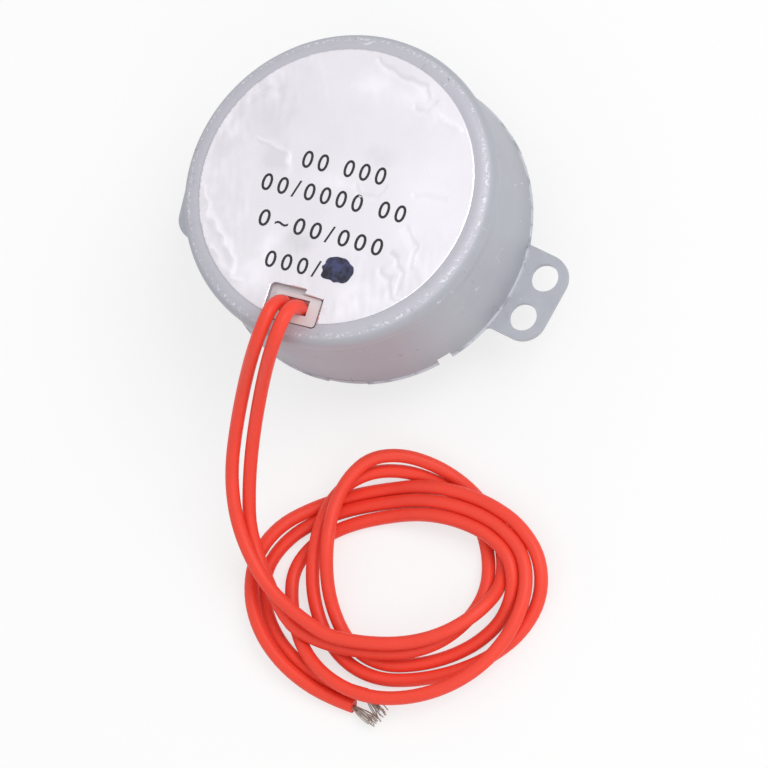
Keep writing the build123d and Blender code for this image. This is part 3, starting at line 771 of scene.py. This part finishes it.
def foil_height(x, y, depth):
    """Height of the foil's face: broad dents, small wrinkles, creases, swells and the windows below."""
    broad, small, fine, rough = crumple(x, y)
    lift = 0.5 + 0.5 * broad
    lift += (SMALL_LIFT[0] + SMALL_LIFT[1] * rough) * small + (FINE_LIFT[0] + FINE_LIFT[1] * rough) * fine
    near_x, near_y = x + CREASE_WANDER * small, y + CREASE_WANDER * small
    for _, line in CREASES:
        away = crease_distance(near_x, near_y, line) / CREASE_WIDTH
        lift += CREASE_LIFT * exp(-away * away)
    for (middle_x, middle_y), size in SWELLS:
        away = hypot(x - middle_x, y - middle_y) / size
        lift += SWELL_LIFT * exp(-away * away)
    lift -= POLE_WINDOW_SINK * window_sink(x, y)
    held = clamp((LABEL_R - hypot(x, y)) / RIM_HOLD)
    return LABEL_LOW + LABEL_THICK + depth / MM * held * lift


def from_window(x, y):
    """A place on the label from one measured on the turned window for the bushing."""
    turn = radians(WINDOW_TURN)
    return (
        WINDOW_CENTRE[0] + x * cos(turn) - y * sin(turn),
        WINDOW_CENTRE[1] + x * sin(turn) + y * cos(turn),
    )


def even_points(corners):
    """Points along straight runs, about one grid step apart."""
    found = []
    for (x0, y0), (x1, y1) in zip(corners, corners[1:]):
        steps = max(1, round(hypot(x1 - x0, y1 - y0) / LABEL_GRID))
        found += [(x0 + (x1 - x0) * k / steps, y0 + (y1 - y0) * k / steps) for k in range(steps)]
    return found + [corners[-1]]


def rim_crossing(x):
    """Where the window's side at x leaves the round of the label."""
    y = 0.0
    while hypot(*from_window(x, y)) < LABEL_R:
        y -= CROSSING_STEP
    return from_window(x, y)


def label_outline():
    """The foil's edge, with the cut-out for the bushing and the flap left over its corner."""
    left, right = CUT_X
    low_left = rim_crossing(left)
    low_right = rim_crossing(right)
    start = atan2(low_right[1], low_right[0])
    end = atan2(low_left[1], low_left[0]) + 2 * pi
    count = ceil((end - start) * LABEL_R / (RIM_STEPS * LABEL_GRID))
    ring = [start + (end - start) * k / count for k in range(count + 1)]
    outline = [(LABEL_R * cos(a), LABEL_R * sin(a)) for a in ring]
    bend = [radians(a) for a in (180, 150, 120, 90)]
    corner = [(left + CUT_CORNER * (1 + cos(a)), CUT_Y - CUT_CORNER * (1 - sin(a))) for a in bend]
    cut = [low_left] + [from_window(*spot) for spot in corner + list(FLAP)] + [low_right]
    return outline + even_points(cut)[1:-1]


def inside(x, y, outline):
    found = False
    for (x0, y0), (x1, y1) in zip(outline, outline[1:] + outline[:1]):
        if (y0 > y) != (y1 > y) and x < (x1 - x0) * (y - y0) / (y1 - y0) + x0:
            found = not found
    return found


def too_near(x, y, outline):
    return any(hypot(x - a, y - b) < CUT_CLEAR * LABEL_GRID for a, b in outline)


def foil_sheet(depth):
    """Points, triangles and painted light and shade of the foil, dented, as one sheet."""
    outline = label_outline()
    coords = list(outline)
    rows = ceil(2 * LABEL_R / (LABEL_GRID * ROW_RISE))
    for row in range(rows + 1):
        y = -LABEL_R + row * LABEL_GRID * ROW_RISE
        for column in range(ceil(2 * LABEL_R / LABEL_GRID) + 1):
            x = -LABEL_R + (column + 0.5 * (row % 2)) * LABEL_GRID
            if hypot(x, y) < LABEL_R - RIM_CLEAR * LABEL_GRID:
                near = hypot(x - WINDOW_CENTRE[0], y - WINDOW_CENTRE[1]) < WINDOW_NEAR
                if not near or inside(x, y, outline) and not too_near(x, y, outline):
                    coords.append((x, y))
    edges = [(k, (k + 1) % len(outline)) for k in range(len(outline))]
    face = [list(range(len(outline)))]
    found = delaunay_2d_cdt([Vector(c) for c in coords], edges, face, KEEP_INSIDE, MERGE_WITHIN)
    points = [metres((v.x, v.y, foil_height(v.x, v.y, depth))) for v in found[0]]
    painted_shading_values = [foil_painted_shading(v.x, v.y) for v in found[0]]
    return points, [tuple(f) for f in found[2]], painted_shading_values


def place_row(data, start, end, height, depth):
    """Fits a row of print between two points on the foil, following its dents."""
    xs = [v.co.x for v in data.vertices]
    ys = [v.co.y for v in data.vertices]
    wide = max(xs) - min(xs)
    tall = max(ys) - min(ys)
    run = Vector(end) - Vector(start)
    aim = run.normalized()
    side = Vector((-aim.y, aim.x))
    for vertex in data.vertices:
        along = (vertex.co.x - min(xs)) / wide * run.length
        up = ((vertex.co.y - min(ys)) / tall - 0.5) * height
        spot = Vector(start) + aim * along + side * up
        vertex.co = metres((spot.x, spot.y, foil_height(spot.x, spot.y, depth) + PRINT_LIFT))


def dab_point(share, turn, depth):
    place = Vector((cos(turn) * DAB_LOBES, sin(turn) * DAB_LOBES, DAB_SLICE))
    wobble = 1 + DAB_WOBBLE * noise.noise(place)
    x = DAB_CENTRE[0] + DAB_SIZE[0] * share * wobble * cos(turn)
    y = DAB_CENTRE[1] + DAB_SIZE[1] * share * wobble * sin(turn)
    return metres((x, y, foil_height(x, y, depth) + DAB_LIFT))


class MOTOR_OT_label(bpy.types.Operator):
    """Lay the dented foil label on the rear face, with its generic print and marker dab"""

    bl_idname = "motor.label"
    bl_label = "Label"

    def execute(self, context):
        settings = context.scene.motor_label
        foil_colour = tuple(settings.foil)
        # The foil's painted light and shade picks between these darker and lighter foil colours
        shade = scaled(foil_colour, 0.84)
        light = scaled(foil_colour, 1.13)
        foil = finish_material(
            "label_foil", light, shade, (0.2, 0.34), (60.0, 1.5), (420.0, 0.00006), painted_shading="foil_painted_shading",
            Metallic=0.5)
        points, faces, painted_shading_values = foil_sheet(settings.dent)
        sheet = mesh_object("rear_label_foil", points, faces, foil)
        sheet.data.attributes.new("foil_painted_shading", "FLOAT", "POINT").data.foreach_set("value", painted_shading_values)
        thick = sheet.modifiers.new("Thickness", "SOLIDIFY")
        thick.thickness = LABEL_THICK * MM
        thick.offset = -1.0
        label = baked_copy(sheet, "rear_label_foil")
        smooth(label.data)
        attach(label, "motor")
        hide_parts("rear_label")
        self.add_print(settings)
        self.add_dab(settings)
        return {"FINISHED"}

    def add_print(self, settings):
        colour = tuple(settings.ink)
        ink = finish_material(
            "label_print", colour, scaled(colour, 1.7), (0.4, 0.6), (900.0, 2.2), (3000.0, 0.000005))
        for number, (words, start, end, height) in enumerate(PRINT_ROWS):
            data = bpy.data.curves.new("print", "FONT")
            data.body = words
            data.space_character = PRINT_SPACING
            data.offset = PRINT_WEIGHT
            data.resolution_u = PRINT_STEPS
            holder = link("print", data)
            row = baked_copy(holder, f"label_print_{number + 1}")
            place_row(row.data, start, end, height, settings.dent)
            row.data.materials.clear()
            row.data.materials.append(ink)
            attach(row, "motor")

    def add_dab(self, settings):
        colour = tuple(settings.dab)
        marker = finish_material(
            "marker_dab", colour, scaled(colour, 0.1), (0.25, 0.5), (330.0, 5.0), (1500.0, 0.00001))
        spokes = range(DAB_SPOKES)
        points = [dab_point(0, 0, settings.dent)]
        for ring in range(1, DAB_RINGS + 1):
            points += [dab_point(ring / DAB_RINGS, 2 * pi * k / DAB_SPOKES, settings.dent) for k in spokes]
        faces = [(0, 1 + k, 1 + (k + 1) % DAB_SPOKES) for k in spokes]
        for ring in range(DAB_RINGS - 1):
            inner = 1 + ring * DAB_SPOKES
            outer = inner + DAB_SPOKES
            for k in spokes:
                after = (k + 1) % DAB_SPOKES
                faces.append((inner + k, outer + k, outer + after, inner + after))
        dab = mesh_object("label_marker_dab", points, faces, marker)
        smooth(dab.data)
        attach(dab, "motor")


# Finishes of the case
class MOTOR_OT_case(bpy.types.Operator):
    """Finish the plated steel case, plates and the nylon lead bushing"""

    bl_idname = "motor.case"
    bl_label = "Case finish"

    def execute(self, context):
        settings = context.scene.motor_finish
        zinc_colour = tuple(settings.zinc)
        shade = scaled(zinc_colour, 0.86)
        scuffs = [
            (520.0, 0.64, (1.0, 1.0, 0.35), linear(142, 143, 150)),
            (330.0, 0.64, (1.0, 1.0, 0.5), linear(214, 216, 223)),
        ]
        # Bands of another colour between heights, in metres from the mounting face
        shading_bands = [
            # darker towards the rim
            (-0.001, 0.005, 0.004, 250.0, 0.3, scaled(zinc_colour, 0.84)),
            # painted highlight along the rim's lip
            (0.0005, 0.0014, 0.0003, 500.0, 0.42, linear(210, 212, 218)),
            # painted shade under the shoulder's edge
            (0.0193, 0.0202, 0.0004, 300.0, 0.36, scaled(zinc_colour, 0.88)),
            # painted light on the ring round the label
            (0.02028, 0.03, 0.00016, 600.0, 0.36, linear(186, 185, 194)),
            # painted highlight in glinting specks along the shoulder's edge
            (0.0204, 0.0207, 0.00016, 2300.0, 0.58, linear(222, 222, 229)),
        ]
        zinc = finish_material(
            "zinc_plate", zinc_colour, shade, (0.5, 0.66), (130.0, 1.5), (1500.0, 0.00002),
            scuffs=scuffs, shading_bands=shading_bands, Metallic=0.38)
        wear_finish(zinc, "rear_case")
        plate_colour = scaled(zinc_colour, 1.08)
        plate = finish_material(
            "plate_zinc", plate_colour, shade, (0.5, 0.66), (150.0, 1.5), (1500.0, 0.00002),
            scuffs=scuffs, Metallic=0.38)
        wear_finish(plate, "front_plate", "stator_plate")
        nylon_colour = tuple(settings.nylon)
        nylon = finish_material(
            "bushing_nylon", nylon_colour, scaled(nylon_colour, 0.9), (0.4, 0.55), (500.0, 1.2),
            (1600.0, 0.00001))
        wear_finish(nylon, "lead_bushing", "coil_bobbin")
        return {"FINISHED"}


# Finishes inside: name, colour, shade, roughness, mottle, skin, metal, scuffs and nodes
WORKS = (
    ("enamelled_copper", (184, 104, 58), (150, 74, 38), (0.3, 0.45), (600.0, 1.6), (2500.0, 0.00003),
     0.9, (), ("coil_winding",)),
    ("winding_tape", (232, 206, 96), (214, 182, 70), (0.3, 0.4), (300.0, 1.2), (1200.0, 0.00002),
     0.0, (), ("winding_tape",)),
    ("ferrite", (58, 57, 60), (40, 39, 42), (0.55, 0.75), (500.0, 1.8), (2400.0, 0.00002),
     0.0, (), ("rotor_magnet",)),
    ("hub_plastic", (60, 62, 66), (48, 50, 54), (0.4, 0.55), (400.0, 1.2), (1600.0, 0.00001),
     0.0, (), ("rotor_hub",)),
    ("ground_steel", (206, 207, 210), (176, 178, 184), (0.18, 0.32), (500.0, 1.6), (3000.0, 0.000004),
     1.0, (), ("rotor_pin", "first_gear_pin", "second_gear_pin", "third_gear_pin")),
    ("turned_steel", (198, 197, 194), (160, 160, 160), (0.24, 0.4), (350.0, 1.6), (2600.0, 0.000006),
     1.0, ((700.0, 0.66, (1.0, 1.0, 3.0), linear(120, 118, 114)),), ("output_shaft",)),
    ("sintered_brass", (196, 160, 92), (160, 124, 66), (0.4, 0.58), (900.0, 1.8), (3200.0, 0.00001),
     0.95, (), ("output_bush", "rotor_spacer")),
    ("white_acetal", (238, 236, 228), (222, 219, 208), (0.36, 0.5), (400.0, 1.2), (1500.0, 0.00001),
     0.0, (), ("output_gear", "first_gear", "second_gear", "third_gear", "rear_washer", "thrust_washer")),
)


class MOTOR_OT_works(bpy.types.Operator):
    """Finish the rotor, winding, gears, pins and output shaft"""

    bl_idname = "motor.works"
    bl_label = "Works finish"

    def execute(self, context):
        for name, colour, shade, rough, mottle, skin, metal, scuffs, nodes in WORKS:
            made = finish_material(
                name, linear(*colour), linear(*shade), rough, mottle, skin, scuffs=scuffs, Metallic=metal)
            wear_finish(made, *nodes)
        return {"FINISHED"}


# Stage
def soft_light(name, place, target, size, power):
    data = bpy.data.lights.new(name, "AREA")
    data.shape = "DISK"
    data.size = size
    data.energy = power
    made = link(name, data)
    made.location = place
    made.rotation_mode = "QUATERNION"
    made.rotation_quaternion = (Vector(target) - Vector(place)).to_track_quat("-Z", "Y")


def seen_ray(tree):
    """1 for rays that show the background: to the camera, in gloss and through glass."""
    path = add(tree, "ShaderNodeLightPath")
    seen = path.outputs["Is Camera Ray"]
    for ray in ("Is Glossy Ray", "Is Transmission Ray"):
        both = add(tree, "ShaderNodeMath", None, {0: seen, 1: path.outputs[ray]}, operation="MAXIMUM")
        seen = both.outputs[0]
    return seen


class MOTOR_OT_stage(bpy.types.Operator):
    """Set the camera, the pale floor and the soft light"""

    bl_idname = "motor.stage"
    bl_label = "Stage"

    def execute(self, context):
        settings = context.scene.motor_stage
        self.set_camera(context.scene)
        self.set_floor(settings)
        self.set_sky(context.scene, settings)
        for name, place, target, size, share in LIGHTS:
            soft_light(name, place, target, size, settings.key * share)
        context.scene.view_settings.view_transform = "Standard"
        return {"FINISHED"}

    def set_camera(self, scene):
        data = bpy.data.cameras.new("photo_camera")
        data.sensor_width = CAMERA_SENSOR
        data.lens = CAMERA_LENS
        data.clip_start, data.clip_end = CAMERA_CLIP
        camera = link("photo_camera", data)
        right, down, ahead = Vector(CAMERA_RIGHT), Vector(CAMERA_DOWN), Vector(CAMERA_AHEAD)
        turn = Matrix((right, -down, -ahead)).transposed()
        camera.matrix_world = Matrix.Translation(metres(CAMERA_AT)) @ turn.to_4x4()
        scene.camera = camera

    def set_floor(self, settings):
        colour = tuple(settings.floor)
        material, tree, surface = shader("pale_floor", Roughness=0.9, Specular_IOR_Level=0.1)
        clouds = use_group(tree, mottle_group(), scale=6.0, contrast=0.4).outputs["Mask"]
        tint = blend_colour(tree, clouds, scaled(colour, 0.99), colour)
        tree.links.new(tint, surface.inputs["Base Color"])
        white = add(tree, "ShaderNodeEmission", {"Strength": 1.0})
        share = add(tree, "ShaderNodeMath", {1: settings.glow}, {0: seen_ray(tree)}, operation="MULTIPLY")
        both = add(tree, "ShaderNodeMixShader", None,
                   {0: share.outputs[0], 1: surface.outputs[0], 2: white.outputs[0]})
        below = add(tree, "ShaderNodeNewGeometry").outputs["Backfacing"]
        clear = add(tree, "ShaderNodeBsdfTransparent")
        seen = add(tree, "ShaderNodeMixShader", None, {0: below, 1: both.outputs[0], 2: clear.outputs[0]})
        tree.links.new(seen.outputs[0], tree.nodes["Material Output"].inputs["Surface"])
        low = FLOOR_Z * MM - FLOOR_GAP
        corners = [(FLOOR_HALF * x, FLOOR_HALF * y, low) for x, y in ((-1, -1), (1, -1), (1, 1), (-1, 1))]
        mesh_object("floor", corners, [(0, 1, 2, 3)], material)

    def set_sky(self, scene, settings):
        world = bpy.data.worlds.new("studio")
        scene.world = world
        world.use_nodes = True
        tree = world.node_tree
        ground = tree.nodes["Background"]
        ground.inputs["Color"].default_value = (1.0, 1.0, 1.0, 1.0)
        level = add(tree, "ShaderNodeMapRange", {"To Min": settings.sky, "To Max": 1.0},
                    {"Value": seen_ray(tree)})
        tree.links.new(level.outputs[0], ground.inputs["Strength"])


OPERATORS = (MOTOR_OT_stage, MOTOR_OT_leads, MOTOR_OT_label, MOTOR_OT_case, MOTOR_OT_works)
SETTINGS = {
    "motor_leads": MotorLeadSettings,
    "motor_label": MotorLabelSettings,
    "motor_finish": MotorFinishSettings,
    "motor_stage": MotorStageSettings,
}


class MOTOR_PT_dressing(bpy.types.Panel):
    """Lists the motor's pieces and their settings"""

    bl_label = "Motor"
    bl_idname = "MOTOR_PT_dressing"
    bl_space_type = "VIEW_3D"
    bl_region_type = "UI"
    bl_category = "Motor"

    def draw(self, context):
        for operator in OPERATORS:
            self.layout.operator(operator.bl_idname)
        for name, group in SETTINGS.items():
            box = self.layout.box()
            for prop in group.__annotations__:
                box.prop(getattr(context.scene, name), prop)


CLASSES = tuple(SETTINGS.values()) + OPERATORS + (MOTOR_PT_dressing,)


def register():
    for item in CLASSES:
        bpy.utils.register_class(item)
    for name, group in SETTINGS.items():
        setattr(bpy.types.Scene, name, PointerProperty(type=group))


def unregister():
    for name in SETTINGS:
        delattr(bpy.types.Scene, name)
    for item in reversed(CLASSES):
        bpy.utils.unregister_class(item)


def main():
    register()
    bpy.ops.motor.stage()
    bpy.ops.motor.leads()
    bpy.ops.motor.label()
    bpy.ops.motor.case()
    bpy.ops.motor.works()


if __name__ == "__main__":
    main()
